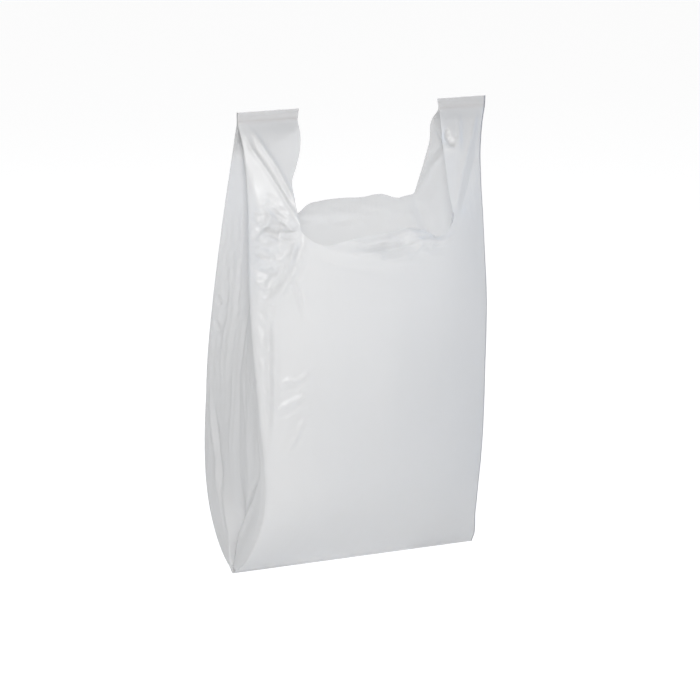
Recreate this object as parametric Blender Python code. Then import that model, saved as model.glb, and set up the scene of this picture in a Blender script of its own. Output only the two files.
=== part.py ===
"""A plastic vest carrier bag, hanging open by its two handles.

The bag is one piece of blown film: a flat tube whose two sides are folded in as
gussets, sealed straight across the bottom and across the tops of the handles, with
the mouth cut out between the handles. The cut also passes through the inner folds
of the gussets, so each handle is a loop of a front and a back strap, and each strap
is a folded double layer. Metres, +Z up; the origin is the middle of the bottom
edge; the front faces -Y and the bag's width runs along X.
"""

import bmesh
import bpy
import numpy as np

# Driving dimensions of the tube of film
WIDTH = 0.292          # across the bottom seal, gussets folded in
GUSSET = 0.165         # one side panel opened flat
HANG_HEIGHT = 0.508    # bottom edge to handle tops, hanging open
MOUTH_HEIGHT = 0.380   # lowest line of the mouth cut, hanging open
CUT_RADIUS = 0.018     # rounding in the corners of the mouth cut
FILM = 0.0005          # wall of this model; the real film is about 0.013 mm
FOLD = 0.00045         # radius of a pressed fold, so that two layers clear each other
BOTTOM_SEAL = 0.004    # height of the welded strip along the bottom
HANDLE_SEAL = 0.010    # height of the welded strip across each handle top
SEAL_EDGE = 0.00025    # how far a welded strip stands out past the film's faces
STRAP_CLOSES = 0.085   # height over which a strap's two layers come together

LAYERS = 3 * FOLD      # half depth of four pressed layers, measured to the film's middle
HALF = WIDTH / 2

# The hanging shape: each row gives, at one height, the left fold lines' x and half
# depth, the right fold lines' x and half depth, how far the front and back bow out
# between them, and how far the left and right gussets are still folded in.
SHAPE_NAMES = ("left_x", "left_depth", "right_x", "right_depth", "bow", "left_fold", "right_fold")
SHAPE = {
    0.000: (-HALF, LAYERS, HALF, LAYERS, 0.000, 0.078, 0.078),
    0.005: (-HALF, LAYERS, HALF, LAYERS, 0.000, 0.074, 0.076),
    0.012: (-0.147, 0.020, 0.144, 0.010, 0.001, 0.065, 0.075),
    0.022: (-0.147, 0.034, 0.141, 0.017, 0.003, 0.056, 0.074),
    0.040: (-0.147, 0.052, 0.136, 0.026, 0.008, 0.040, 0.072),
    0.060: (-0.147, 0.065, 0.133, 0.034, 0.014, 0.026, 0.070),
    0.080: (-0.146, 0.075, 0.131, 0.040, 0.020, 0.015, 0.068),
    0.110: (-0.144, 0.082, 0.130, 0.046, 0.025, 0.007, 0.066),
    0.145: (-0.145, 0.081, 0.130, 0.049, 0.027, 0.007, 0.065),
    0.180: (-0.147, 0.075, 0.130, 0.050, 0.029, 0.009, 0.064),
    0.220: (-0.149, 0.068, 0.130, 0.050, 0.031, 0.012, 0.063),
    0.260: (-0.150, 0.059, 0.130, 0.050, 0.034, 0.017, 0.061),
    0.300: (-0.150, 0.050, 0.130, 0.048, 0.037, 0.023, 0.058),
    0.340: (-0.149, 0.042, 0.130, 0.042, 0.042, 0.033, 0.052),
    0.380: (-0.147, 0.035, 0.130, 0.035, 0.046, 0.045, 0.045),
    0.420: (-0.145, 0.027, 0.130, 0.027, 0.033, 0.050, 0.045),
    0.460: (-0.144, 0.016, 0.134, 0.016, 0.014, 0.055, 0.048),
    0.485: (-0.145, 0.006, 0.141, 0.006, 0.005, 0.060, 0.050),
    0.497: (-HALF, LAYERS, HALF, LAYERS, 0.000, 0.062, 0.050),
    0.508: (-HALF, LAYERS, HALF, LAYERS, 0.000, 0.062, 0.050),
}

# Width of each handle's strap, from its outer fold to its inner cut edge
LEFT_STRAP = {0.380: 0.047, 0.420: 0.048, 0.445: 0.053, 0.463: 0.062, 0.485: 0.068, 0.508: 0.071}
RIGHT_STRAP = {0.380: 0.049, 0.420: 0.050, 0.460: 0.052, 0.508: 0.058}

STRAP_STEPS = 3        # columns across a strap
MOUTH_STEPS = 8        # columns across the mouth
ARC_STEPS = 4          # facets round a fold
SEAL_ROW = 0.002       # height at which the film starts, inside its welded strip
TAB_HEIGHTS = (0.386, 0.393, 0.403, 0.420, 0.440, 0.460, 0.475, 0.488, 0.4965, 0.504)


def shape_at(z):
    """The hanging shape's values at one height, by name."""
    heights = np.array(list(SHAPE))
    rows = np.array(list(SHAPE.values()))
    return {name: np.interp(z, heights, rows[:, k]) for k, name in enumerate(SHAPE_NAMES)}


def strap_width(table, z):
    """A strap's width at one height, widened just above the mouth by the round corner."""
    rise = np.clip((z - MOUTH_HEIGHT) / CUT_RADIUS, 0.0, 1.0)
    corner = CUT_RADIUS * (1.0 - np.sqrt(1.0 - (1.0 - rise) ** 2))
    return np.interp(z, list(table), list(table.values())) + corner


def panel(shape, along):
    """Points of the front panel, whose width is run through by along from 0 to 1."""
    x = shape["left_x"] + FOLD + along * (shape["right_x"] - shape["left_x"] - 2 * FOLD)
    depth = shape["left_depth"] + along * (shape["right_depth"] - shape["left_depth"])
    bow = shape["bow"] * (1.0 - np.abs(2.0 * along - 1.0) ** 2.6)
    return np.stack([x, -(depth + bow)], axis=-1)


def arc(centre, start, end, turn):
    """Points of a fold, by the heading of the film at its start and its end."""
    headings = np.linspace(start, end, ARC_STEPS + 1)
    outward = np.stack([-np.sin(headings), np.cos(headings)], axis=-1)
    return np.asarray(centre) - turn * FOLD * outward


def front_of_gusset(fold_x, depth, fold_in, strap):
    """The left gusset's front half, from the front fold to the middle of its crease.

    Gives the arc of the front fold, the strap's inner layer as far as the mouth cut
    goes, and half of the crease with the film between.
    """
    outer = np.array([fold_x + FOLD, FOLD - depth])
    inner = np.array([fold_x + fold_in - FOLD, 0.0])
    line = inner - outer
    heading = np.arctan2(line[1], line[0]) - np.arcsin(2 * FOLD / np.hypot(*line))
    fold = arc(outer, np.pi, heading, -1)
    crease = arc(inner, heading, np.pi - heading, 1)
    share = np.clip(strap / (GUSSET / 2), 0.1, 0.9)
    steps = np.linspace(0.0, share, STRAP_STEPS + 1)[1:, None]
    layer = fold[-1] + steps * (crease[0] - fold[-1])
    return fold, layer, crease[: ARC_STEPS // 2 + 1]


def gusset(fold_x, depth, fold_in, strap):
    """The left gusset from the front fold to the back fold, front to back."""
    fold, layer, crease = front_of_gusset(fold_x, depth, fold_in, strap)
    half = np.concatenate([fold, layer, crease])
    back = half[:-1][::-1] * (1.0, -1.0)
    return np.concatenate([half, back])


def ring(z):
    """The whole outline of the film at one height, from the left front fold rightwards."""
    shape = shape_at(z)
    span = shape["right_x"] - shape["left_x"]
    left = strap_width(LEFT_STRAP, max(z, MOUTH_HEIGHT)) / span
    right = 1.0 - strap_width(RIGHT_STRAP, max(z, MOUTH_HEIGHT)) / span
    along = np.concatenate([
        np.linspace(0.0, left, STRAP_STEPS + 1)[1:],
        np.linspace(left, right, MOUTH_STEPS + 1)[1:],
        np.linspace(right, 1.0, STRAP_STEPS + 1)[1:-1],
    ])
    front = panel(shape, along)
    back = front[::-1] * (1.0, -1.0)
    left_side = gusset(shape["left_x"], shape["left_depth"], shape["left_fold"],
                       strap_width(LEFT_STRAP, z + CUT_RADIUS))
    right_side = gusset(-shape["right_x"], shape["right_depth"], shape["right_fold"],
                        strap_width(RIGHT_STRAP, z + CUT_RADIUS)) * (-1.0, 1.0)
    return np.concatenate([front, right_side, back, left_side[::-1]])


def strap_layers(z, mirrored):
    """A front strap's outline: inner layer's cut edge, round the outer fold, to the outer cut edge.

    The inner layer starts along the gusset and swings over to lie on the outer layer.
    """
    shape = shape_at(z)
    table = RIGHT_STRAP if mirrored else LEFT_STRAP
    width = strap_width(table, z)
    span = shape["right_x"] - shape["left_x"]
    along = np.linspace(0.0, width / span, STRAP_STEPS + 1)[1:]
    if mirrored:
        fold_x, depth, fold_in = -shape["right_x"], shape["right_depth"], shape["right_fold"]
        outer = panel(shape, 1.0 - along) * (-1.0, 1.0)
    else:
        fold_x, depth, fold_in = shape["left_x"], shape["left_depth"], shape["left_fold"]
        outer = panel(shape, along)
    fold, layer, _ = front_of_gusset(fold_x, depth, fold_in, strap_width(table, MOUTH_HEIGHT + CUT_RADIUS))
    closed = outer + (0.0, 2 * FOLD)
    swing = np.clip((z - MOUTH_HEIGHT) / STRAP_CLOSES, 0.0, 1.0)
    swing = swing * swing * (3.0 - 2.0 * swing)
    layer = layer + swing * (closed - layer)
    first = layer[0] - (fold_x + FOLD, FOLD - depth)
    heading = np.arctan2(first[1], first[0])
    fold = arc((fold_x + FOLD, FOLD - depth), np.pi, heading, -1)
    outline = np.concatenate([layer[::-1], fold[::-1], outer])
    return outline * (-1.0, 1.0) if mirrored else outline


def walls(outline, closed):
    """The two faces of the film along an outline: half the film's thickness to each side."""
    if closed:
        ahead = np.roll(outline, -1, axis=0) - outline
        behind = outline - np.roll(outline, 1, axis=0)
    else:
        step = np.diff(outline, axis=0)
        ahead = np.concatenate([step, step[-1:]])
        behind = np.concatenate([step[:1], step])
    ahead /= np.linalg.norm(ahead, axis=1)[:, None]
    behind /= np.linalg.norm(behind, axis=1)[:, None]
    along = ahead + behind
    along /= np.linalg.norm(along, axis=1)[:, None]
    lean = np.clip(np.sum(along * ahead, axis=1), 0.6, 1.0)[:, None]
    outward = np.stack([along[:, 1], -along[:, 0]], axis=-1) / lean
    return outline + outward * FILM / 2, outline - outward * FILM / 2


class Shell:
    """Collects the two faces of the film and the rims where it is cut."""

    def __init__(self):
        self.mesh = bmesh.new()

    def row(self, outline, z, closed):
        """Adds the film's outer and inner points along one outline."""
        return [
            [self.mesh.verts.new((x, y, z)) for x, y in face] for face in walls(outline, closed)
        ]

    def between(self, low, high, columns):
        """Adds both faces of the film between two rows, over the given pairs of columns."""
        for a, b in columns:
            self.mesh.faces.new((low[0][a], low[0][b], high[0][b], high[0][a]))
            self.mesh.faces.new((low[1][b], low[1][a], high[1][a], high[1][b]))

    def top_rim(self, row, columns):
        """Closes the film's thickness along a cut that runs with a row, facing up."""
        for a, b in columns:
            self.mesh.faces.new((row[0][a], row[0][b], row[1][b], row[1][a]))

    def bottom_rim(self, row, columns):
        """Closes the film's thickness along a cut that runs with a row, facing down."""
        for a, b in columns:
            self.mesh.faces.new((row[0][b], row[0][a], row[1][a], row[1][b]))

    def side_rim(self, low, high, first, last):
        """Closes the film's thickness along the two cut edges of a strap."""
        self.mesh.faces.new((low[0][first], high[0][first], high[1][first], low[1][first]))
        self.mesh.faces.new((low[0][last], low[1][last], high[1][last], high[0][last]))


def strap_columns():
    """The ring's columns that run on into each strap, in the order of its outline."""
    side = ARC_STEPS + 1 + STRAP_STEPS
    half_gusset = side + ARC_STEPS // 2 + 1
    front_count = 2 * STRAP_STEPS + MOUTH_STEPS - 1
    gusset_count = 2 * half_gusset - 1
    count = 2 * front_count + 2 * gusset_count
    right = front_count
    back = front_count + gusset_count
    left = count - 1
    return count, {
        ("left", "front"): [left - k for k in range(side)][::-1] + list(range(STRAP_STEPS)),
        ("right", "front"): [right + k for k in range(side)][::-1]
        + list(range(right - 1, right - 1 - STRAP_STEPS, -1)),
        ("right", "back"): [back - 1 - k for k in range(side)][::-1]
        + list(range(back, back + STRAP_STEPS)),
        ("left", "back"): [back + front_count + k for k in range(side)][::-1]
        + list(range(back + front_count - 1, back + front_count - 1 - STRAP_STEPS, -1)),
    }


def make_film():
    """The film as one closed shell: the body's tube and the four straps that grow out of it."""
    shell = Shell()
    heights = [SEAL_ROW] + [z for z in SHAPE if 0 < z <= MOUTH_HEIGHT]
    rows = [shell.row(ring(z), z, True) for z in heights]
    count, straps = strap_columns()
    around = [(k, (k + 1) % count) for k in range(count)]
    for low, high in zip(rows, rows[1:]):
        shell.between(low, high, around)
    shell.bottom_rim(rows[0], around)

    held = set()
    for (side, face), columns in straps.items():
        # A strap's outline runs the way the ring does only on the left front and the right back
        forward = (side == "left") == (face == "front")
        order = columns if forward else columns[::-1]
        low = [[rows[-1][face_index][k] for k in order] for face_index in (0, 1)]
        pairs = [(k, k + 1) for k in range(len(order) - 1)]
        held |= {(order[k], order[k + 1]) for k in range(len(order) - 1)}
        for z in TAB_HEIGHTS:
            outline = strap_layers(z, side == "right")
            if face == "back":
                outline = outline * (1.0, -1.0)
            if not forward:
                outline = outline[::-1]
            high = shell.row(outline, z, False)
            shell.between(low, high, pairs)
            shell.side_rim(low, high, 0, len(order) - 1)
            low = high
        shell.top_rim(low, pairs)
    shell.top_rim(rows[-1], [pair for pair in around if pair not in held])

    mesh = bpy.data.meshes.new("bag")
    bmesh.ops.triangulate(shell.mesh, faces=shell.mesh.faces[:])
    shell.mesh.to_mesh(mesh)
    shell.mesh.free()
    return mesh


def make_seal(name, x_low, x_high, z_low, z_high):
    """A welded strip, as a hidden box that is joined to the film."""
    deep = LAYERS + FILM / 2 + SEAL_EDGE
    size = np.array([x_high - x_low, 2 * deep, z_high - z_low])
    centre = np.array([(x_low + x_high) / 2, 0.0, (z_low + z_high) / 2])
    box = bmesh.new()
    bmesh.ops.create_cube(box, size=1.0)
    for corner in box.verts:
        corner.co = np.array(corner.co) * size + centre
    mesh = bpy.data.meshes.new(name)
    box.to_mesh(mesh)
    box.free()
    seal = bpy.data.objects.new(name, mesh)
    seal.hide_render = True
    seal.display_type = "WIRE"
    bpy.context.scene.collection.objects.link(seal)
    return seal


def film_material():
    """Thin white polythene: pale, smooth, with a soft shine."""
    material = bpy.data.materials.new("white_film")
    material.use_nodes = True
    surface = material.node_tree.nodes["Principled BSDF"]
    surface.inputs["Base Color"].default_value = (0.82, 0.83, 0.86, 1.0)
    surface.inputs["Roughness"].default_value = 0.35
    surface.inputs["Metallic"].default_value = 0.0
    return material


for old in list(bpy.data.objects):
    bpy.data.objects.remove(old, do_unlink=True)

bag = bpy.data.objects.new("bag", make_film())
bag.data.materials.append(film_material())
bpy.context.scene.collection.objects.link(bag)

past = FILM / 2 + SEAL_EDGE
strap_top = HANG_HEIGHT
seals = [
    make_seal("bottom_seal", -HALF - past, HALF + past, 0.0, BOTTOM_SEAL),
    make_seal("left_handle_seal", -HALF - past, -HALF + strap_width(LEFT_STRAP, strap_top) + past,
              strap_top - HANDLE_SEAL, strap_top),
    make_seal("right_handle_seal", HALF - strap_width(RIGHT_STRAP, strap_top) - past, HALF + past,
              strap_top - HANDLE_SEAL, strap_top),
]
for seal in seals:
    join = bag.modifiers.new("weld_" + seal.name, "BOOLEAN")
    join.operation = "UNION"
    join.solver = "EXACT"
    join.object = seal
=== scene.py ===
import math

import bpy
import numpy as np
from mathutils import Matrix, Vector


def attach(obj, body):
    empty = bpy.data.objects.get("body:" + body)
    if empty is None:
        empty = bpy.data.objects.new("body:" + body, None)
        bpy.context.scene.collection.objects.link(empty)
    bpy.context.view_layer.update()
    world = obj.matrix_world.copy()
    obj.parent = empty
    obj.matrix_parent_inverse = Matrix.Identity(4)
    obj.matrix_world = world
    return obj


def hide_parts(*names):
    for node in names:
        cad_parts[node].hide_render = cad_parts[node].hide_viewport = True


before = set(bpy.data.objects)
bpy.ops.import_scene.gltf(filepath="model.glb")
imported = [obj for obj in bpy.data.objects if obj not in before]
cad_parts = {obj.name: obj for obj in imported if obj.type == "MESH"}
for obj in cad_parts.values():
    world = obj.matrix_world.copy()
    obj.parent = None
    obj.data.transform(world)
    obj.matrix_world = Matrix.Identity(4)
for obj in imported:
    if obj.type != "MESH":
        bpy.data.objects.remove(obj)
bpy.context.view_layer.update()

# ---------------------------------------------------------------------------
# The bag: one tube of thin white blown polythene with folded-in sides. It is
# welded flat across the bottom and across each handle top, and the mouth is
# cut out between the handles, through all four layers.
# ---------------------------------------------------------------------------

TALL = 0.508             # bottom edge to handle tops, hanging open
MOUTH = 0.380            # lowest line of the mouth cut
CORNER = 0.013           # rounding in the corners of the mouth cut
PLY = 0.00022            # half the gap between neighbouring layers in a weld
WELD = 3 * PLY           # half depth of the four layers there

FRONT_STEPS = 124        # film strips across the front, and across the back
FOLD_STEPS = 34          # film strips from an outer fold to a gusset's middle crease
LEFT_STRAP_STEPS = 31    # of those, how many a handle strap keeps
RIGHT_STRAP_STEPS = 22
BODY_ROWS = 190          # bands of film from the bottom weld to the mouth cut
STRAP_ROWS = 70          # bands of film in a handle

FILM_TINT = (0.575, 0.58, 0.585, 1.0)     # light thrown back by the film
WELD_AND_CRIMP_SHADE_TINT = (0.54, 0.53, 0.53, 1.0)       # the same where the layers are pressed together, and as painted shade along the crimp under the handle welds
THROUGH_TINT = (0.61, 0.615, 0.62, 1.0)   # light let through the film
THROUGH_SHARE = 0.45                      # how much of the light passes through
ROUGHNESS = (0.33, 0.46)                  # least and most, in soft blotches

# Hanging shape. At each height: left folds' x and half depth, right folds' x and
# half depth, how far front and back bow out between the folds, and how far the
# left and right gussets are still folded in.
HANG = np.array([
    [0.000, -0.1460, WELD, 0.1460, WELD, 0.000, 0.078, 0.078],
    [0.004, -0.1462, 0.006, 0.1458, 0.003, 0.000, 0.074, 0.076],
    [0.012, -0.1470, 0.020, 0.144, 0.010, 0.001, 0.065, 0.075],
    [0.022, -0.1472, 0.034, 0.141, 0.017, 0.003, 0.054, 0.074],
    [0.040, -0.1470, 0.052, 0.136, 0.026, 0.008, 0.036, 0.072],
    [0.060, -0.1465, 0.066, 0.133, 0.034, 0.014, 0.024, 0.070],
    [0.080, -0.1455, 0.076, 0.131, 0.040, 0.020, 0.014, 0.068],
    [0.110, -0.1445, 0.083, 0.130, 0.046, 0.025, 0.007, 0.066],
    [0.145, -0.1455, 0.081, 0.130, 0.049, 0.027, 0.007, 0.065],
    [0.180, -0.1470, 0.075, 0.130, 0.050, 0.029, 0.009, 0.064],
    [0.220, -0.1490, 0.068, 0.130, 0.050, 0.031, 0.012, 0.060],
    [0.260, -0.1500, 0.059, 0.130, 0.050, 0.034, 0.017, 0.055],
    [0.300, -0.1500, 0.050, 0.130, 0.048, 0.037, 0.022, 0.046],
    [0.340, -0.1490, 0.042, 0.130, 0.042, 0.042, 0.025, 0.030],
    [0.380, -0.1470, 0.035, 0.130, 0.035, 0.046, 0.026, 0.016],
    [0.420, -0.1450, 0.027, 0.130, 0.027, 0.031, 0.025, 0.024],
    [0.460, -0.1440, 0.016, 0.134, 0.016, 0.013, 0.025, 0.040],
    [0.485, -0.1450, 0.006, 0.141, 0.006, 0.005, 0.040, 0.050],
    [0.496, -0.1458, WELD, 0.1456, WELD, 0.000, 0.062, 0.050],
    [0.508, -0.1460, WELD, 0.1460, WELD, 0.000, 0.062, 0.050],
])
# Strap widths from outer fold to cut edge, by height, gathered narrow at the neck
LEFT_WIDTH = np.array([[0.30, 0.064], [0.380, 0.045], [0.400, 0.045], [0.420, 0.044],
                       [0.440, 0.045], [0.452, 0.052], [0.468, 0.061], [0.485, 0.067], [0.508, 0.071]])
RIGHT_WIDTH = np.array([[0.30, 0.056], [0.380, 0.045], [0.410, 0.048], [0.447, 0.048], [0.482, 0.052],
                        [0.508, 0.058]])
BACK_RIGHT_WIDTH = np.array([[0.30, 0.056], [0.380, 0.042], [0.400, 0.040], [0.430, 0.039], [0.458, 0.042],
                             [0.482, 0.053], [0.508, 0.058]])


def eased(z, table, column=1):
    """A table's column read at heights z by a cubic through its knots (Hermite form)."""
    knots = table[:, 0]
    values = table[:, column]
    slopes = np.gradient(values, knots)
    k = np.clip(np.searchsorted(knots, z) - 1, 0, len(knots) - 2)
    step = knots[k + 1] - knots[k]
    f = np.clip((z - knots[k]) / step, 0.0, 1.0)
    return (
        (1 + 2 * f) * (1 - f) ** 2 * values[k]
        + f * (1 - f) ** 2 * step * slopes[k]
        + f * f * (3 - 2 * f) * values[k + 1]
        - f * f * (1 - f) * step * slopes[k + 1]
    )


def smooth(a, b, x):
    """0 below a, 1 above b, and a smooth S between."""
    f = np.clip((x - a) / (b - a), 0.0, 1.0)
    return f * f * (3 - 2 * f)


def film_heights():
    """Heights of the rows, spaced evenly along the left front fold, measured on the film."""
    z = np.linspace(0.0, TALL, 2001)
    x = eased(z, HANG, 1)
    d = eased(z, HANG, 2)
    run = np.concatenate([[0.0], np.cumsum(np.sqrt(np.diff(x) ** 2 + np.diff(d) ** 2 + np.diff(z) ** 2))])
    at_mouth = np.interp(MOUTH, z, run)
    body = np.interp(np.linspace(0.0, at_mouth, BODY_ROWS + 1), run, z)
    strap = np.interp(np.linspace(at_mouth, run[-1], STRAP_ROWS + 1), run, z)
    return np.concatenate([body, strap[1:]])


def corner_reach(z):
    """Extra strap width where the cut's corner rounds out, fading away below the mouth line."""
    rise = np.clip((z - MOUTH) / CORNER, 0.0, 1.0)
    return CORNER * np.where(z >= MOUTH, (1 - rise) ** 2.2, smooth(MOUTH - 0.09, MOUTH, z))


def panel(z, across):
    """Front panel at heights z (rows) and shares across (rows x columns) of its width.

    x runs straight between the two fold lines; the depth is the folds' own depth
    plus a bow that is fullest a little left of the middle.
    """
    x0 = eased(z, HANG, 1)[:, None]
    d0 = eased(z, HANG, 2)[:, None]
    x1 = eased(z, HANG, 3)[:, None]
    d1 = eased(z, HANG, 4)[:, None]
    bow = eased(z, HANG, 5)[:, None]
    x = x0 + across * (x1 - x0)
    fullest = np.clip(across, 0.0, 1.0) ** 0.78
    y = -(d0 + across * (d1 - d0) + bow * (1 - np.abs(2 * fullest - 1) ** 2.2))
    return np.stack([x, y, np.broadcast_to(z[:, None], x.shape)], axis=-1)


def panel_shares(z, right_width):
    """Share of a panel's width at each film strip: straps narrow at the neck, mouth between.

    Where the cut's corner rounds out, the strips nearest to the cut spread the most.
    """
    span = eased(z, HANG, 3) - eased(z, HANG, 1)
    reach = corner_reach(z)[:, None]
    left = eased(np.maximum(z, 0.30), LEFT_WIDTH)[:, None]
    right = eased(np.maximum(z, 0.30), right_width)[:, None]
    from_left = np.linspace(0.0, 1.0, LEFT_STRAP_STEPS + 1)
    from_right = np.linspace(1.0, 0.0, RIGHT_STRAP_STEPS + 1)
    mouth = np.linspace(0.0, 1.0, FRONT_STEPS - LEFT_STRAP_STEPS - RIGHT_STRAP_STEPS + 1)[1:-1]
    mouth = mouth * (0.72 + 0.28 * mouth)
    left_strap = from_left * left + from_left ** 2.5 * reach
    right_strap = span[:, None] - from_right * right - from_right ** 2.5 * reach
    between = left_strap[:, -1:] + mouth * (right_strap[:, :1] - left_strap[:, -1:])
    return np.concatenate([left_strap, between, right_strap], axis=1) / span[:, None]


def half_gusset(z, fold_column, depth_column, in_column, open_share):
    """From a front outer fold (share 0) to the gusset's middle crease (share 1).

    Film leaves the fold straight back, then dives into a V-shaped valley whose
    half width is open_share of the depth; it is evenly spaced along that line.
    x is measured from the fold inwards.
    """
    f = np.linspace(0.0, 1.0, FOLD_STEPS + 1)[None, :]
    depth = eased(z, HANG, depth_column)[:, None]
    inward = eased(z, HANG, in_column)[:, None]
    open_half = open_share[:, None] * depth
    slope = np.hypot(open_half, inward)
    total = (depth - open_half) + slope
    left_over = (1 - f) * total
    in_valley = np.minimum(left_over, slope) / slope
    y = -(open_half * in_valley + np.maximum(left_over - slope, 0.0))
    x = inward * (1 - in_valley)
    return np.stack([x, y, np.broadcast_to(z[:, None], x.shape)], axis=-1)


rows_z = film_heights()
front = panel(rows_z, panel_shares(rows_z, RIGHT_WIDTH))
back = panel(rows_z, panel_shares(rows_z, BACK_RIGHT_WIDTH)) * np.array([1.0, -1.0, 1.0])

valley = np.where(rows_z < 0.16, 0.24 + 0.76 * smooth(0.03, 0.16, rows_z), 1.0)
valley = np.maximum(valley, 1.0 - smooth(0.0, 0.012, rows_z))
left_half = half_gusset(rows_z, 1, 2, 6, valley)
left_half[..., 0] = eased(rows_z, HANG, 1)[:, None] + left_half[..., 0]
right_half = half_gusset(rows_z, 3, 4, 7, np.ones_like(rows_z))
right_half[..., 0] = eased(rows_z, HANG, 3)[:, None] - right_half[..., 0]

# Film strips run round the bag: front, right gusset, back, left gusset
flip = np.array([1.0, -1.0, 1.0])
film = np.concatenate([
    front,
    right_half[:, 1:],
    right_half[:, -2::-1] * flip,
    back[:, -2::-1],
    left_half[:, 1:] * flip,
    left_half[:, -2:0:-1],
], axis=1)
ROWS, AROUND = film.shape[:2]
FRONT_RIGHT = FRONT_STEPS
BACK_RIGHT = FRONT_RIGHT + 2 * FOLD_STEPS
BACK_LEFT = BACK_RIGHT + FRONT_STEPS
# Each strap: its outer fold's strip, which way its outer layer runs, and its strips a layer
STRAPS = [
    (0, 1, LEFT_STRAP_STEPS),
    (FRONT_RIGHT, -1, RIGHT_STRAP_STEPS),
    (BACK_RIGHT, 1, RIGHT_STRAP_STEPS),
    (BACK_LEFT, -1, LEFT_STRAP_STEPS),
]


def close_straps(film):
    """Lays each strap's inner layer above the mouth.

    It hangs in the line of the gusset it was cut from, its cut edge close to the
    gusset's middle, and near the top weld it swings over to its own outer layer.
    """
    closed = film.copy()
    above = np.arange(BODY_ROWS + 1, ROWS)
    meet = smooth(MOUTH, MOUTH + 0.060, rows_z[above])[:, None]
    swing = smooth(0.452, 0.497, rows_z[above])[:, None, None]
    for fold, way, steps in STRAPS:
        k = np.arange(1, steps + 1)
        outer = film[above][:, (fold + way * k) % AROUND]
        at = k * (1 + meet * (0.95 * FOLD_STEPS / steps - 1))
        low = np.floor(at).astype(int)
        part = (at - low)[..., None]
        rows = above[:, None]
        line = film[rows, (fold - way * low) % AROUND] * (1 - part)
        line = line + film[rows, (fold - way * (low + 1)) % AROUND] * part
        side = -1.0 if fold in (0, FRONT_RIGHT) else 1.0
        beside = outer - np.array([0.0, side * 2 * PLY, 0.0])
        closed[rows, (fold - way * k) % AROUND] = line + swing * (beside - line)
    return closed


def film_cells():
    """Which grid cells are film: all below the mouth line, and the straps above it."""
    cells = np.zeros((ROWS - 1, AROUND), dtype=bool)
    cells[:BODY_ROWS] = True
    for fold, way, steps in STRAPS:
        cells[BODY_ROWS:, np.arange(fold - steps, fold + steps) % AROUND] = True
    return cells


def noise(u, v, seed):
    """Smooth seeded noise in -1..1: values on a unit lattice, joined by eased interpolation."""
    lattice = np.random.RandomState(seed).uniform(-1.0, 1.0, (64, 64))
    i = np.floor(u).astype(int)
    j = np.floor(v).astype(int)
    f = u - i
    g = v - j
    f = f * f * (3 - 2 * f)
    g = g * g * (3 - 2 * g)
    low = lattice[i % 64, j % 64] * (1 - f) + lattice[(i + 1) % 64, j % 64] * f
    high = lattice[i % 64, (j + 1) % 64] * (1 - f) + lattice[(i + 1) % 64, (j + 1) % 64] * f
    return low * (1 - g) + high * g


def crease(x, z, points, width, height):
    """A fold along a line of (x, z) points in mm: a peaked ridge, or a groove where height < 0.

    Its height falls off with the distance from the line as a sharp-topped bell of
    the given half width, and tapers to a quarter at both ends. Sizes are in mm.
    """
    points = np.array(points, dtype=float)
    run = np.concatenate([[0.0], np.cumsum(np.hypot(*np.diff(points, axis=0).T))])
    nearest = np.full(x.shape, 1e9)
    along = np.zeros(x.shape)
    for a, b, at in zip(points[:-1], points[1:], run[:-1]):
        step = b - a
        t = np.clip(((x - a[0]) * step[0] + (z - a[1]) * step[1]) / (step @ step), 0.0, 1.0)
        away = np.hypot(x - a[0] - t * step[0], z - a[1] - t * step[1])
        closer = away < nearest
        nearest = np.where(closer, away, nearest)
        along = np.where(closer, at + t * np.hypot(*step), along)
    end = np.minimum(along, run[-1] - along) / (0.22 * run[-1])
    taper = 0.25 + 0.75 * smooth(0.0, 1.0, end)
    return height * taper * np.exp(-(nearest / width) ** 1.15)


def facets(x, z, size, seed):
    """Crumple made of flat-sided dents: the lowest of a set of cones, one a seeded point a cell."""
    u = x / size
    v = z / size
    jitter = np.random.RandomState(seed).uniform(0.0, 1.0, (64, 64, 3))
    lowest = np.full(x.shape, 9.0)
    for di in (-1, 0, 1):
        for dj in (-1, 0, 1):
            i = np.floor(u).astype(int) + di
            j = np.floor(v).astype(int) + dj
            spot = jitter[i % 64, j % 64]
            reach = np.hypot(u - i - spot[..., 0], v - j - spot[..., 1])
            lowest = np.minimum(lowest, reach + 0.5 * spot[..., 2])
    return lowest - 0.6


def patch(x, z, x0, z0, rx, rz):
    """1 in the middle of an ellipse at (x0, z0) with half axes rx and rz, 0 outside it."""
    return 1.0 - smooth(0.45, 1.15, np.hypot((x - x0) / rx, (z - z0) / rz))


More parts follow.
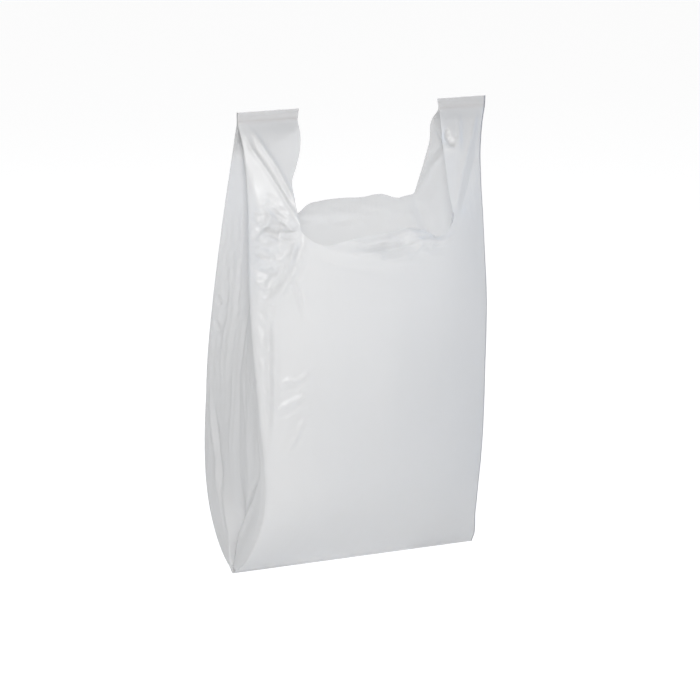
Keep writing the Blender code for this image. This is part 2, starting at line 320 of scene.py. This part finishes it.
# Folds in the front, in mm from the middle of the bag and from its bottom: points, width, height
FRONT_FOLDS = [
    ([(-141, 492), (-135, 472), (-126, 457), (-118, 441), (-110, 422), (-102, 400), (-99, 386)], 2.6, 4.4),
    ([(-133, 492), (-124, 474), (-115, 457), (-107, 436), (-100, 412)], 2.3, 3.8),
    ([(-137, 482), (-129, 465), (-120, 448), (-111, 428), (-104, 408)], 2.0, -2.8),
    ([(-145, 470), (-142, 445), (-138, 425)], 3.0, 1.6),
    ([(-132, 416), (-127, 406), (-131, 398), (-140, 388), (-145, 380)], 2.8, -4.2),
    ([(-127, 406), (-117, 400), (-106, 391)], 2.4, -3.6),
    ([(-146, 399), (-134, 396)], 2.4, -2.0),
    ([(-122, 412), (-118, 394), (-124, 380)], 2.4, 3.0),
    ([(-140, 408), (-137, 396), (-126, 386), (-112, 380)], 2.5, 3.2),
    ([(-107, 384), (-113, 360), (-121, 345), (-139, 319)], 2.8, -3.6),
    ([(-102, 378), (-108, 356), (-117, 338), (-130, 318)], 3.2, 2.8),
    ([(-146, 368), (-132, 361), (-121, 366)], 2.4, 3.0),
    ([(-147, 352), (-134, 346), (-124, 352)], 2.4, -3.0),
    ([(-146, 338), (-136, 331), (-128, 334)], 2.2, 2.4),
    ([(-131, 305), (-136, 292), (-137, 268), (-139, 215), (-142, 173)], 2.4, -3.8),
    ([(-126, 318), (-131, 301), (-131, 270), (-134, 214), (-138, 176)], 2.8, 2.2),
    ([(-143, 262), (-146, 232), (-145, 196)], 2.4, 1.2),
    ([(-111, 350), (-107, 331), (-103, 312), (-100, 301)], 2.6, -2.4),
    ([(-107, 346), (-102, 328), (-98, 310)], 3.4, 1.2),
    ([(-127, 231), (-120, 237), (-112, 235), (-104, 240), (-97, 246)], 1.9, 1.7),
    ([(-125, 226), (-113, 229), (-100, 237)], 2.2, -1.2),
    ([(-133, 202), (-125, 210), (-111, 216), (-101, 222)], 2.0, 2.2),
    ([(-130, 198), (-120, 203), (-106, 212)], 2.4, -1.3),
    ([(-125, 160), (-118, 168), (-113, 178), (-105, 195)], 1.9, 1.5),
    ([(-121, 160), (-113, 170), (-107, 182)], 2.2, -0.9),
    ([(-90, 378), (-70, 372), (-40, 366), (-12, 362)], 5.0, 2.0),
    ([(-60, 381), (-35, 377), (-5, 379), (20, 385), (44, 377)], 2.4, 2.8),
    ([(-50, 376), (-28, 371), (0, 371), (24, 376)], 2.4, -2.8),
    ([(-37, 367), (-16, 366), (4, 369), (26, 374), (48, 371)], 2.4, 3.0),
    ([(-22, 361), (2, 362), (20, 366), (36, 375)], 2.2, -2.6),
    ([(-10, 355), (10, 357), (26, 362), (40, 370)], 2.4, 2.4),
    ([(20, 378), (44, 373), (64, 369), (82, 372)], 2.6, 2.0),
    ([(-92, 366), (-66, 356), (-30, 347), (0, 345)], 5.0, -1.4),
    ([(94, 478), (93, 468), (99, 459)], 2.4, -4.6),
    ([(88, 458), (99, 457), (107, 470)], 2.6, 2.8),
    ([(84, 392), (97, 420), (112, 449), (128, 478), (136, 494)], 5.5, 3.0),
    ([(92, 386), (112, 420), (126, 448), (133, 470)], 6.0, -2.0),
    ([(112, 492), (108, 474), (103, 450)], 3.0, 1.4),
]
# Folds in the back, in the same terms, fewer and broader than the front's
BACK_FOLDS = [
    ([(-138, 490), (-128, 462), (-112, 430), (-100, 398)], 4.0, 3.0),
    ([(-128, 488), (-118, 455), (-104, 420)], 3.2, -2.4),
    ([(138, 490), (120, 458), (102, 424), (92, 392)], 4.6, 1.4),
    ([(124, 488), (108, 458), (96, 428)], 4.2, -0.9),
    ([(-99, 384), (-112, 356), (-126, 326), (-136, 292)], 4.2, -2.4),
    ([(-92, 380), (-104, 352), (-116, 328)], 4.4, 2.0),
    ([(92, 384), (104, 356), (116, 330)], 4.4, -2.0),
    ([(86, 378), (96, 352), (108, 330)], 4.4, 1.6),
    ([(-60, 378), (-24, 369), (18, 371), (54, 366)], 4.6, 0.7),
    ([(-44, 370), (-10, 360), (30, 362)], 4.0, -0.6),
    ([(-110, 236), (-92, 228), (-70, 231)], 3.0, 1.5),
    ([(66, 250), (86, 242), (104, 246)], 3.0, 1.5),
    ([(74, 214), (92, 208), (108, 214)], 3.0, -1.3),
    ([(-120, 140), (-104, 152), (-92, 172)], 3.4, 1.3),
]


def front_sculpt(x, z, folds, seed, strength):
    """How far the film stands out of a panel at x and z, in mm: long swells, folds and crumple.

    Round the left end of the mouth the crumple runs out from the corner of the cut like
    spokes, near the right end it runs on a slant, beside the left fold it runs up and down, and along the
    lip it lies level.
    """
    swell = 1.6 * noise(x / 95 + 7, z / 120, seed) + 0.8 * noise(x / 44 + 3, z / 70 + 5, seed + 1)
    total = swell * smooth(0, 60, z) * (1 - smooth(430, 480, z))
    for points, width, height in folds:
        total = total + crease(x, z, points, width, height)
    spoke = np.arctan2(z - 392, x + 92) * 42
    reach = np.hypot(z - 392, x + 92)
    neck = patch(x, z, -126, 372, 26, 56)
    crumple = neck * 3.6 * facets(spoke, reach * 0.27, 7.5, seed + 2)
    crumple = crumple + neck * 1.2 * facets(x, z * 0.8, 6.0, seed + 3)
    band = patch(x, z, -143, 285, 11, 130) * (1 - neck)
    crumple = crumple + band * 2.6 * facets(x, z * 0.55 + 0.5 * x, 6.5, seed + 4)
    lip = patch(x, z, 14, 368, 74, 20)
    crumple = crumple + lip * 2.8 * facets(x * 0.28 - 0.2 * z, z + 0.10 * x, 6.5, seed + 5)
    marks = patch(x, z, -114, 205, 22, 48)
    crumple = crumple + marks * 0.5 * facets(x * 0.6, z - 0.5 * x, 6.0, seed + 6)
    right = patch(x, z, 112, 410, 34, 60)
    crumple = crumple + right * 0.5 * facets(x, z * 0.5 + 0.4 * x, 9.0, seed + 7)
    total = total + strength * crumple + 0.12 * facets(x, z * 0.6, 14.0, seed + 8)
    return total * (1 - smooth(486, 499, z)) * smooth(2, 16, z)


# Folds in a gusset: mm round from its back fold and from the bottom. Under the bag's
# weight the lower corners of its film fold over in a long V down to the bottom weld.
GUSSET_FOLDS = [
    ([(18, 178), (30, 138), (40, 102), (38, 62), (33, 26)], 3.0, -3.0),
    ([(9, 196), (16, 152), (29, 112), (31, 70)], 3.4, 2.4),
    ([(149, 156), (144, 130), (119, 106), (108, 80), (110, 46)], 3.0, -3.2),
    ([(156, 140), (138, 108), (124, 78), (124, 46)], 3.4, 2.0),
    ([(5, 302), (12, 296), (20, 292)], 2.4, -2.0),
    ([(10, 270), (17, 266), (24, 259)], 2.4, -2.0),
    ([(30, 356), (34, 300), (31, 236), (36, 190)], 3.0, 1.2),
    ([(54, 376), (51, 330), (56, 270)], 3.0, -1.2),
    ([(58, 244), (62, 200), (58, 150), (62, 96)], 2.6, 1.3),
    ([(104, 300), (100, 240), (106, 180)], 3.0, -1.3),
    ([(128, 330), (131, 270), (127, 214)], 2.6, 1.2),
]


def gusset_sculpt(f, z, seed, lean):
    """How far a gusset's film stands out at share f across its whole width and height z, in mm.

    A lean sets the folds of one gusset a little apart from those of the other.
    """
    u = 165 * f
    total = 1.5 * noise(u / 26 + 2, z / 130 + 4, seed) + 0.7 * noise(u / 11, z / 75, seed + 1)
    for points, width, height in GUSSET_FOLDS:
        total = total + crease(u - lean * np.sin(z / 40), z + 12 * lean, points, width, height)
    total = total + 0.6 * facets(u * 1.6, z * 0.45 + 0.3 * u, 14.0, seed + 2)
    total = total + 0.9 * patch(u, z, 40, 330, 50, 90) * facets(u, z * 0.6, 10.0, seed + 3)
    return total * smooth(0, 30, z) * smooth(0.0, 0.05, f) * smooth(0.0, 0.05, 1 - f)


def normals(film):
    """Unit normal at every point of the film grid, outward."""
    along = np.roll(film, -1, axis=1) - np.roll(film, 1, axis=1)
    up = np.gradient(film, axis=0)
    out = np.cross(along, up)
    return out / np.maximum(np.linalg.norm(out, axis=-1, keepdims=True), 1e-12)


def lift_lips(film):
    """Lets both edges of the mouth wander up and down, less and less away from the mouth line.

    Each edge is a list of x and rise, in mm, and comes to nothing at the outer folds,
    where the gusset beside it stays level.
    """
    z = film[..., 2]
    fade = smooth(MOUTH - 0.040, MOUTH, z) * (1 - smooth(MOUTH, MOUTH + 0.022, z))
    front_edge = [[-145, 0], [-94, 2], [-76, -3], [-58, 0], [-39, 3], [0, 6], [19, 8],
                  [45, 0], [60, -7], [76, -3], [95, 0]]
    back_edge = [[-145, 0], [-97, -10], [-60, -11], [-44, -8], [-36, -5], [-26, 3], [-12, 6],
                 [12, 8], [35, 8], [58, 11], [72, 7], [84, 6], [95, 0]]
    raised = film.copy()
    front_columns = slice(0, FRONT_STEPS + 1)
    back_columns = slice(BACK_RIGHT, BACK_LEFT + 1)
    for edge, columns in ((front_edge, front_columns), (back_edge, back_columns)):
        edge = np.array(edge) / 1000
        raised[:, columns, 2] += fade[:, columns] * eased(film[:, columns, 0], edge)
    return raised


def calm_folds(least, strips):
    """1 over the film, falling to the given least value at each outer fold, within so many strips."""
    calm = np.ones(AROUND)
    for fold in (0, FRONT_RIGHT, BACK_RIGHT, BACK_LEFT):
        away = np.abs((np.arange(AROUND) - fold + AROUND // 2) % AROUND - AROUND // 2)
        calm = np.minimum(calm, least + (1 - least) * smooth(0, strips, away))
    return calm[None, :]


def sculpt(film):
    """Moves the film off its smooth hanging shape along its own normals."""
    out = np.zeros(film.shape[:2])
    x = film[..., 0] * 1000
    z = film[..., 2] * 1000
    columns = np.arange(0, FRONT_STEPS + 1)
    out[:, columns] = front_sculpt(x[:, columns], z[:, columns], FRONT_FOLDS, 11, 1.0)
    columns = np.arange(BACK_RIGHT, BACK_LEFT + 1)
    out[:, columns] = front_sculpt(x[:, columns], z[:, columns], BACK_FOLDS, 31, 0.35)
    share = np.linspace(0.0, 1.0, 2 * FOLD_STEPS + 1)[None, :]
    for first, seed, lean in ((FRONT_RIGHT, 51, 0.8), (BACK_LEFT, 71, 0.0)):
        columns = (first + np.arange(2 * FOLD_STEPS + 1)) % AROUND
        gusset = gusset_sculpt(share, z[:, columns], seed, lean)
        inner = (share > 0) & (share < 1)
        out[:, columns] = np.where(inner, gusset, out[:, columns])
    return film + normals(film) * (out * calm_folds(0.2, 6))[..., None] / 1000


def growth(x, z):
    """Share by which the film is longer than its sculpted shape, so that it must buckle."""
    x = x * 1000
    z = z * 1000
    extra = 0.003 + 0.040 * patch(x, z, -124, 372, 30, 58) + 0.016 * patch(x, z, 12, 370, 80, 20)
    extra = extra + 0.022 * patch(x, z, -142, 290, 12, 140) + 0.008 * patch(x, z, -112, 205, 24, 50)
    return extra + 0.010 * patch(x, z, 110, 420, 34, 60)


def pair_slices(down, over):
    """Grid slices that pair each point with the one (down, over) away, in sets that share no point."""
    every = 2 * max(down, abs(over))
    for row in range(every if down else 1):
        for column in range(every if over else 1):
            step_down = every if down else 1
            step_over = every if over else 1
            first = (slice(row, ROWS - down, step_down), slice(column, AROUND - abs(over), step_over))
            second = (slice(row + down, ROWS, step_down), slice(column + abs(over), AROUND, step_over))
            if over < 0:
                first, second = (first[0], second[1]), (second[0], first[1])
            yield first, second


def relax(film, rounds):
    """Lets the film buckle under its own extra length, as a grid of unstretchable threads.

    Each round pulls every neighbouring pair back to its own length, keeps points
    two and four apart from folding together, and draws the film lightly home. The
    welds stay put. The grid is turned so that its ends meet in the left gusset.
    """
    live = np.zeros((ROWS, AROUND), dtype=bool)
    live[:BODY_ROWS + 1] = True
    for fold, way, steps in STRAPS:
        live[BODY_ROWS:, (fold + way * np.arange(steps + 1)) % AROUND] = True
    pinned = (rows_z < 0.0035) | (rows_z > 0.497)
    free = live & ~pinned[:, None]
    side = np.full((ROWS, AROUND), 0.35)
    side[:, :FRONT_STEPS + 1] = 1.0
    stretch = growth(film[..., 0], film[..., 2]) * side * calm_folds(0.15, 7)

    home = np.roll(film, FOLD_STEPS, axis=1)
    live = np.roll(live, FOLD_STEPS, axis=1)
    free = np.roll(free, FOLD_STEPS, axis=1)
    stretch = np.roll(stretch, FOLD_STEPS, axis=1)
    film = home.copy()
    pulls = []
    for down, over, stiffness in ((0, 1, 0.9), (1, 0, 0.9), (1, 1, 0.45), (1, -1, 0.45),
                                  (0, 2, 0.12), (2, 0, 0.12), (0, 4, 0.05), (4, 0, 0.05)):
        for a, b in pair_slices(down, over):
            both = live[a] & live[b]
            free_a = (free[a] & both).astype(float)
            free_b = (free[b] & both).astype(float)
            shared = stiffness / np.maximum(free_a + free_b, 1.0)
            length = np.linalg.norm(film[a] - film[b], axis=-1) * (1 + 0.5 * (stretch[a] + stretch[b]))
            pulls.append((a, b, length, free_a * shared, free_b * shared, max(down, over) > 1))
    draw = ((0.012 + 0.05 * (1 - smooth(0.0, 0.02, stretch))) * free)[..., None]
    for turn in range(rounds):
        for a, b, length, pull_a, pull_b, push_only in pulls:
            gap = film[b] - film[a]
            apart = np.sqrt(np.einsum("ijk,ijk->ij", gap, gap)) + 1e-12
            error = (apart - length) / apart
            if push_only:
                error = np.minimum(error, 0.0)
            film[a] += gap * (error * pull_a)[..., None]
            film[b] -= gap * (error * pull_b)[..., None]
        film += draw * (home - film)
    return np.roll(film, -FOLD_STEPS, axis=1)


smooth_film = lift_lips(film)
film = sculpt(smooth_film)
film = relax(film, 140)
# The inner strap layers start from the gusset as it has buckled at the mouth line
drift = film[BODY_ROWS] - smooth_film[BODY_ROWS]
fade = 1 - smooth(MOUTH, MOUTH + 0.030, rows_z[BODY_ROWS + 1:])
for fold, way, steps in STRAPS:
    inner = (fold - way * np.arange(1, FOLD_STEPS + 1)) % AROUND
    film[BODY_ROWS + 1:, inner] = smooth_film[BODY_ROWS + 1:, inner] + fade[:, None, None] * drift[inner]
film = close_straps(film)
cells = film_cells()
row, strip = np.nonzero(cells)
beside = (strip + 1) % AROUND
quads = np.stack([row * AROUND + strip, row * AROUND + beside,
                  (row + 1) * AROUND + beside, (row + 1) * AROUND + strip], axis=1)
used, quads = np.unique(quads, return_inverse=True)
quads = quads.reshape(-1, 4)

mesh = bpy.data.meshes.new("film")
mesh.from_pydata(film.reshape(-1, 3)[used].tolist(), [], quads.tolist())
mesh.shade_smooth()
worn = np.clip(0.12 + growth(film[..., 0], film[..., 2]).reshape(-1)[used] / 0.02, 0.0, 1.0)
mesh.attributes.new("crumple", "FLOAT", "POINT").data.foreach_set("value", worn)
# The weld mask: a painted shade line along the crimp at the foot of the handle-top weld, plus the greyer
# tone of the pressed layers in the top and bottom welds
weld = np.exp(-((rows_z - 0.4975) / 0.0013) ** 2) + 0.3 * (rows_z > 0.4975) + 0.3 * (rows_z < 0.004)
weld = np.repeat(weld[:, None], AROUND, axis=1).reshape(-1)[used]
mesh.attributes.new("weld", "FLOAT", "POINT").data.foreach_set("value", np.clip(weld, 0.0, 1.0))
bag = bpy.data.objects.new("film", mesh)
bpy.context.collection.objects.link(bag)
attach(bag, "root")
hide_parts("bag")

material = bpy.data.materials.new("white_film")
material.use_nodes = True
nodes = material.node_tree.nodes
links = material.node_tree.links
shader = nodes["Principled BSDF"]
# Base colour goes toward the weld tint by the weld mask: the pressed layers' own greyer tone, and painted
# shade along the handle weld's crimp
weld_and_crimp_shade = nodes.new("ShaderNodeAttribute")
weld_and_crimp_shade.attribute_name = "weld"
tint = nodes.new("ShaderNodeMix")
tint.data_type = "RGBA"
tint.inputs["A"].default_value = FILM_TINT
tint.inputs["B"].default_value = WELD_AND_CRIMP_SHADE_TINT
links.new(weld_and_crimp_shade.outputs["Fac"], tint.inputs["Factor"])
links.new(tint.outputs["Result"], shader.inputs["Base Color"])
shader.inputs["Specular IOR Level"].default_value = 0.42
shader.inputs["IOR"].default_value = 1.54
place = nodes.new("ShaderNodeTexCoord")
blotch = nodes.new("ShaderNodeTexNoise")
blotch.inputs["Scale"].default_value = 38.0
blotch.inputs["Detail"].default_value = 3.0
links.new(place.outputs["Object"], blotch.inputs["Vector"])
sheen = nodes.new("ShaderNodeMapRange")
sheen.inputs["To Min"].default_value = ROUGHNESS[0]
sheen.inputs["To Max"].default_value = ROUGHNESS[1]
links.new(blotch.outputs["Fac"], sheen.inputs["Value"])
links.new(sheen.outputs["Result"], shader.inputs["Roughness"])
# Fine crinkles left from packing, running mostly up and down the tube
stretch = nodes.new("ShaderNodeMapping")
stretch.inputs["Scale"].default_value = (1.0, 1.0, 0.45)
links.new(place.outputs["Object"], stretch.inputs["Vector"])
crinkle = nodes.new("ShaderNodeTexNoise")
crinkle.inputs["Scale"].default_value = 210.0
crinkle.inputs["Detail"].default_value = 3.0
links.new(stretch.outputs["Vector"], crinkle.inputs["Vector"])
amount = nodes.new("ShaderNodeAttribute")
amount.attribute_name = "crumple"
height = nodes.new("ShaderNodeMath")
height.operation = "MULTIPLY"
links.new(crinkle.outputs["Fac"], height.inputs[0])
links.new(amount.outputs["Fac"], height.inputs[1])
bump = nodes.new("ShaderNodeBump")
bump.inputs["Strength"].default_value = 0.35
bump.inputs["Distance"].default_value = 0.001
links.new(height.outputs["Value"], bump.inputs["Height"])
links.new(bump.outputs["Normal"], shader.inputs["Normal"])
through = nodes.new("ShaderNodeBsdfTranslucent")
through.inputs["Color"].default_value = THROUGH_TINT
links.new(bump.outputs["Normal"], through.inputs["Normal"])
mix = nodes.new("ShaderNodeMixShader")
mix.inputs["Fac"].default_value = THROUGH_SHARE
links.new(shader.outputs["BSDF"], mix.inputs[1])
links.new(through.outputs["BSDF"], mix.inputs[2])
links.new(mix.outputs["Shader"], nodes["Material Output"].inputs["Surface"])
bag.data.materials.append(material)

# ---------------------------------------------------------------------------
# Floor: a plain pale studio floor well below the bag, which hangs by its
# handles and doesn't touch it. It glows a little, as a lit backdrop does.
# ---------------------------------------------------------------------------

FLOOR_DROP = 0.42         # below the bag's bottom edge
FLOOR_HALF = 24.0         # half its side, past what the camera sees
FLOOR_TINT = (0.93, 0.93, 0.93, 1.0)
FLOOR_GLOW = 0.38

corners = [(-1, -1), (1, -1), (1, 1), (-1, 1)]
mesh = bpy.data.meshes.new("floor")
mesh.from_pydata([(FLOOR_HALF * x, FLOOR_HALF * y, -FLOOR_DROP) for x, y in corners], [], [(0, 1, 2, 3)])
floor = bpy.data.objects.new("floor", mesh)
bpy.context.collection.objects.link(floor)
paint = bpy.data.materials.new("pale_floor")
paint.use_nodes = True
shader = paint.node_tree.nodes["Principled BSDF"]
shader.inputs["Base Color"].default_value = FLOOR_TINT
shader.inputs["Emission Color"].default_value = (1.0, 1.0, 1.0, 1.0)
shader.inputs["Emission Strength"].default_value = FLOOR_GLOW
shader.inputs["Roughness"].default_value = 0.9
shader.inputs["Specular IOR Level"].default_value = 0.1
mesh.materials.append(paint)

# ---------------------------------------------------------------------------
# Light: a white room, brightest at the horizon, so that the backdrop is white
# from every side. A soft lamp stands at the front left, a weaker blue one on the
# right and a broad one behind.
# ---------------------------------------------------------------------------

HORIZON_GLOW = 0.97       # room's brightness at the horizon
CEILING_GLOW = 0.61       # and higher up
GLOW_FALLS = (0.09, 0.26)  # upward share of the direction over which it falls
AIM = (0.0, 0.0, 0.27)    # the point every lamp faces
# Each lamp: name, place, side, watts, colour
LAMPS = [
    ("key", (-0.78, -1.55, 1.15), 0.36, 34.0, (1.0, 0.985, 0.975)),
    ("side", (2.0, -0.5, 1.2), 0.5, 9.0, (0.42, 0.63, 1.0)),
    ("rear", (0.2, 2.2, 2.2), 1.2, 14.0, (1.0, 1.0, 1.0)),
]

room = bpy.data.worlds.new("room")
room.use_nodes = True
room.node_tree.nodes["Background"].inputs["Color"].default_value = (1.0, 1.0, 1.0, 1.0)
nodes = room.node_tree.nodes
links = room.node_tree.links
way_out = nodes.new("ShaderNodeTexCoord")
height = nodes.new("ShaderNodeSeparateXYZ")
links.new(way_out.outputs["Generated"], height.inputs["Vector"])
fall = nodes.new("ShaderNodeMapRange")
fall.interpolation_type = "SMOOTHSTEP"
fall.inputs["From Min"].default_value = GLOW_FALLS[0]
fall.inputs["From Max"].default_value = GLOW_FALLS[1]
fall.inputs["To Min"].default_value = HORIZON_GLOW
fall.inputs["To Max"].default_value = CEILING_GLOW
links.new(height.outputs["Z"], fall.inputs["Value"])
links.new(fall.outputs["Result"], nodes["Background"].inputs["Strength"])
bpy.context.scene.world = room
bpy.context.scene.view_settings.view_transform = "Standard"

for name, spot, size, watts, colour in LAMPS:
    data = bpy.data.lights.new(name, "AREA")
    data.size = size
    data.energy = watts
    data.color = colour
    lamp = bpy.data.objects.new(name, data)
    bpy.context.collection.objects.link(lamp)
    aim = Vector(AIM) - Vector(spot)
    lamp.matrix_world = Matrix.Translation(spot) @ aim.to_track_quat("-Z", "Y").to_matrix().to_4x4()

# ---------------------------------------------------------------------------
# Camera: a long lens at the front left, a little above the bag, aimed near its
# middle and turned slightly about its own line of sight.
# ---------------------------------------------------------------------------

AZIMUTH = math.radians(-25.5)     # from straight in front, towards the left
ELEVATION = math.radians(15.34)   # above level
ROLL = math.radians(1.12)
DISTANCE = 3.4173                 # from the point it looks at
LOOKS_AT_HEIGHT = 0.23666
LOOKS_RIGHT = -0.00897            # of the bag's middle line
LENS = 161.969                    # focal length, mm
SENSOR = 36.0                     # sensor width, mm

back = Vector((
    math.sin(AZIMUTH) * math.cos(ELEVATION),
    -math.cos(AZIMUTH) * math.cos(ELEVATION),
    math.sin(ELEVATION),
))
right = Vector((math.cos(AZIMUTH), math.sin(AZIMUTH), 0.0))
up = back.cross(right)
turned_right = right * math.cos(ROLL) + up * math.sin(ROLL)
turned_up = up * math.cos(ROLL) - right * math.sin(ROLL)
place = right * LOOKS_RIGHT + Vector((0.0, 0.0, LOOKS_AT_HEIGHT)) + back * DISTANCE
turn = Matrix((turned_right, turned_up, back)).transposed().to_4x4()
camera_data = bpy.data.cameras.new("camera")
camera_data.sensor_width = SENSOR
camera_data.lens = LENS
camera_data.clip_end = 50
camera = bpy.data.objects.new("camera", camera_data)
camera.matrix_world = Matrix.Translation(place) @ turn
bpy.context.collection.objects.link(camera)
bpy.context.scene.camera = camera
